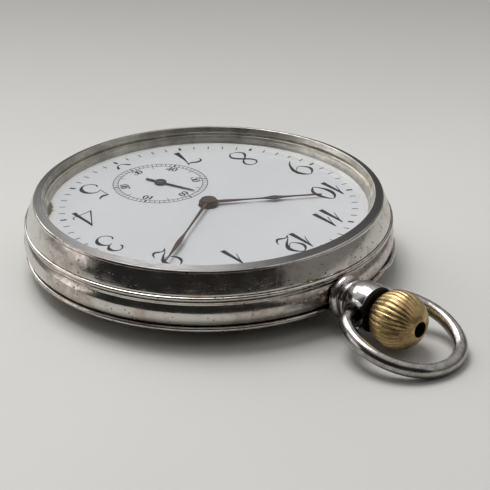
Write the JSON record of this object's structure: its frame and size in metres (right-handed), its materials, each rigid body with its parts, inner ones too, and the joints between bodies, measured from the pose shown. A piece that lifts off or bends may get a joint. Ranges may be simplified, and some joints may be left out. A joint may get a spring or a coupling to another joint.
{
  "type": "open face pocket watch",
  "caption": "Open face pocket watch lying on its back: domed silver case, white enamel dial with small seconds, fluted brass crown and round bow.",
  "frame": {"origin": "centre of the flat face on the back cover, on the case axis, in the resting plane", "axes": "+Z out through the crystal, +Y towards twelve o'clock, the pendant and the crown, +X towards three o'clock"},
  "size_m": [0.0512, 0.071, 0.0107],
  "materials": {
    "case_silver": "worn tarnished silver, pitted and scratched",
    "bezel_silver": "worn silver with a brushed inside wall",
    "bow_silver": "polished silver with fine scratches",
    "inner_silver": "polished silver, lightly tarnished",
    "crown_brass": "worn fluted brass with dark grooves",
    "crystal_glass": "clear polished glass",
    "enamel": "white glossy enamel",
    "copper": "copper",
    "hand_steel": "browned oxidised steel",
    "seconds_steel": "blackened steel",
    "steel": "polished steel",
    "blued_steel": "heat blued steel",
    "gilt_brass": "frosted gilt brass",
    "brass": "polished brass",
    "ruby": "synthetic ruby"
  },
  "bodies": {
    "case": {"case_band": "case_silver", "hinge_pins": "steel", "pendant": "case_silver", "stem_sleeve": "steel", "dial": "enamel", "dial_feet": "copper", "main_plate": "gilt_brass", "barrel_bridge": "gilt_brass", "train_bridge": "gilt_brass", "balance_cock": "gilt_brass", "pallet_cock": "gilt_brass", "jewels": "ruby", "bridge_screws": "blued_steel", "case_screws": "blued_steel", "click_screw": "blued_steel", "click_spring": "steel", "crown_wheel_screw": "steel", "hairspring": "blued_steel", "hairspring_stud": "steel"},
    "bezel": {"bezel": "bezel_silver", "crystal": "crystal_glass"},
    "back": {"back_cover": "case_silver"},
    "dust_cover": {"dust_cover": "inner_silver"},
    "bow": {"bow": "bow_silver"},
    "stem_slide": {"dust_washer": "brass"},
    "crown": {"crown": "crown_brass", "crown_screw": "steel", "winding_stem": "steel"},
    "winding_pinion": {"winding_pinion": "steel"},
    "clutch": {"clutch_wheel": "steel"},
    "setting_lever": {"setting_lever": "steel"},
    "yoke": {"yoke": "steel"},
    "crown_wheel": {"crown_wheel": "steel"},
    "ratchet": {"ratchet_wheel": "steel", "ratchet_screw": "steel", "barrel_arbor": "steel"},
    "click": {"click": "steel"},
    "barrel": {"mainspring_barrel": "brass", "barrel_lid": "brass", "mainspring": "blued_steel"},
    "centre": {"centre_wheel": "brass"},
    "third": {"third_wheel": "brass"},
    "fourth": {"fourth_wheel": "brass", "seconds_hand": "seconds_steel"},
    "escape": {"escape_wheel": "steel"},
    "pallet": {"pallet_fork": "steel", "pallet_stones": "ruby"},
    "balance": {"balance_wheel": "brass", "balance_screws": "brass", "balance_staff": "steel"},
    "regulator": {"regulator": "steel"},
    "minute": {"cannon_pinion": "steel", "minute_hand": "hand_steel"},
    "minute_wheel": {"minute_wheel": "steel"},
    "hour": {"hour_wheel": "brass", "hour_hand": "hand_steel"},
    "setting_wheel": {"setting_wheel": "steel"}
  },
  "joints": [
    {"name": "bezel_open", "type": "hinge", "parent": "case", "child": "bezel", "pos_m": [0, -0.02575, 0.00665], "axis": [1, 0, 0], "range_deg": [0, 95]},
    {"name": "back_open", "type": "hinge", "parent": "case", "child": "back", "pos_m": [0, -0.02575, 0.00295], "axis": [-1, 0, 0], "range_deg": [0, 95]},
    {"name": "dust_cover_open", "type": "hinge", "parent": "case", "child": "dust_cover", "pos_m": [0, -0.02345, 0.0025], "axis": [-1, 0, 0], "range_deg": [0, 95]},
    {"name": "bow_swing", "type": "hinge", "parent": "case", "child": "bow", "pos_m": [0, 0.0306, 0.00415], "axis": [1, 0, 0], "range_deg": [-125, 140]},
    {"name": "crown_pull", "type": "slide", "parent": "case", "child": "stem_slide", "axis": [0, 1, 0], "range_m": [0, 0.0008]},
    {"name": "crown_turn", "type": "hinge", "parent": "stem_slide", "child": "crown", "pos_m": [0, 0.0306, 0.00415], "axis": [0, 1, 0], "continuous": true},
    {"name": "winding_pinion_turn", "type": "hinge", "parent": "case", "child": "winding_pinion", "pos_m": [0, 0.01875, 0.00415], "axis": [0, 1, 0], "continuous": true},
    {"name": "clutch_slide", "type": "slide", "parent": "crown", "child": "clutch", "axis": [0, 1, 0], "range_m": [-0.0014, 0]},
    {"name": "setting_lever_turn", "type": "hinge", "parent": "case", "child": "setting_lever", "pos_m": [0.0046, 0.0192, 0.0058], "axis": [0, 0, 1], "range_deg": [-12, 0]},
    {"name": "yoke_turn", "type": "hinge", "parent": "case", "child": "yoke", "pos_m": [-0.0048, 0.0166, 0.0058], "axis": [0, 0, 1], "range_deg": [-9, 0]},
    {"name": "crown_wheel_turn", "type": "hinge", "parent": "case", "child": "crown_wheel", "pos_m": [0, 0.01572, 0.0021], "axis": [0, 0, 1], "continuous": true},
    {"name": "ratchet_turn", "type": "hinge", "parent": "case", "child": "ratchet", "pos_m": [0.00595, 0.00761, 0.0021], "axis": [0, 0, 1], "continuous": true},
    {"name": "click_swing", "type": "hinge", "parent": "case", "child": "click", "pos_m": [0.01442, 0.00911, 0.0021], "axis": [0, 0, 1], "range_deg": [-8, 0], "stiffness_Nm_per_rad": 0.00002},
    {"name": "seconds_turn", "type": "hinge", "parent": "case", "child": "fourth", "pos_m": [0, -0.0102, 0.004], "axis": [0, 0, 1], "continuous": true},
    {"name": "third_turn", "type": "hinge", "parent": "case", "child": "third", "pos_m": [0.00443, -0.00623, 0.004], "axis": [0, 0, 1], "continuous": true},
    {"name": "centre_turn", "type": "hinge", "parent": "case", "child": "centre", "pos_m": [0, 0, 0.004], "axis": [0, 0, 1], "continuous": true},
    {"name": "barrel_turn", "type": "hinge", "parent": "case", "child": "barrel", "pos_m": [0.00595, 0.00761, 0.004], "axis": [0, 0, 1], "continuous": true},
    {"name": "escape_turn", "type": "hinge", "parent": "case", "child": "escape", "pos_m": [-0.0051, -0.01157, 0.004], "axis": [0, 0, 1], "continuous": true},
    {"name": "pallet_swing", "type": "hinge", "parent": "case", "child": "pallet", "pos_m": [-0.00755, -0.00865, 0.0043], "axis": [0, 0, 1], "range_deg": [-5, 5]},
    {"name": "balance_swing", "type": "hinge", "parent": "case", "child": "balance", "pos_m": [-0.0106, -0.005, 0.003], "axis": [0, 0, 1], "range_deg": [-270, 270], "stiffness_Nm_per_rad": 0.0000004},
    {"name": "regulator_turn", "type": "hinge", "parent": "case", "child": "regulator", "pos_m": [-0.0106, -0.005, 0.0018], "axis": [0, 0, 1], "range_deg": [-20, 20]},
    {"name": "minute_turn", "type": "hinge", "parent": "case", "child": "minute", "pos_m": [0, 0, 0.008], "axis": [0, 0, 1], "continuous": true},
    {"name": "minute_wheel_turn", "type": "hinge", "parent": "case", "child": "minute_wheel", "pos_m": [0, 0.0036, 0.007], "axis": [0, 0, 1], "continuous": true},
    {"name": "hour_turn", "type": "hinge", "parent": "case", "child": "hour", "pos_m": [0, 0, 0.008], "axis": [0, 0, 1], "continuous": true},
    {"name": "setting_wheel_turn", "type": "hinge", "parent": "case", "child": "setting_wheel", "pos_m": [0, 0.0126, 0.00685], "axis": [0, 0, 1], "continuous": true}
  ],
  "couplings": [
    {"joint": "dust_cover_open", "follows": "back_open", "ratio": 1},
    {"joint": "winding_pinion_turn", "follows": "crown_turn", "ratio": 1},
    {"joint": "clutch_slide", "follows": "crown_pull", "ratio": -1.75},
    {"joint": "setting_lever_turn", "follows": "crown_pull", "rad_per_m": -218.17},
    {"joint": "yoke_turn", "follows": "crown_pull", "rad_per_m": -157.08},
    {"joint": "crown_wheel_turn", "follows": "crown_turn", "ratio": 0.54545},
    {"joint": "ratchet_turn", "follows": "crown_turn", "ratio": -0.28099},
    {"joint": "third_turn", "follows": "seconds_turn", "ratio": -0.13333},
    {"joint": "centre_turn", "follows": "seconds_turn", "ratio": 0.016667},
    {"joint": "barrel_turn", "follows": "seconds_turn", "ratio": -0.0025},
    {"joint": "escape_turn", "follows": "seconds_turn", "ratio": -10},
    {"joint": "minute_wheel_turn", "follows": "minute_turn", "ratio": -0.33333},
    {"joint": "hour_turn", "follows": "minute_turn", "ratio": 0.083333},
    {"joint": "setting_wheel_turn", "follows": "minute_turn", "ratio": 0.14286}
  ]
}
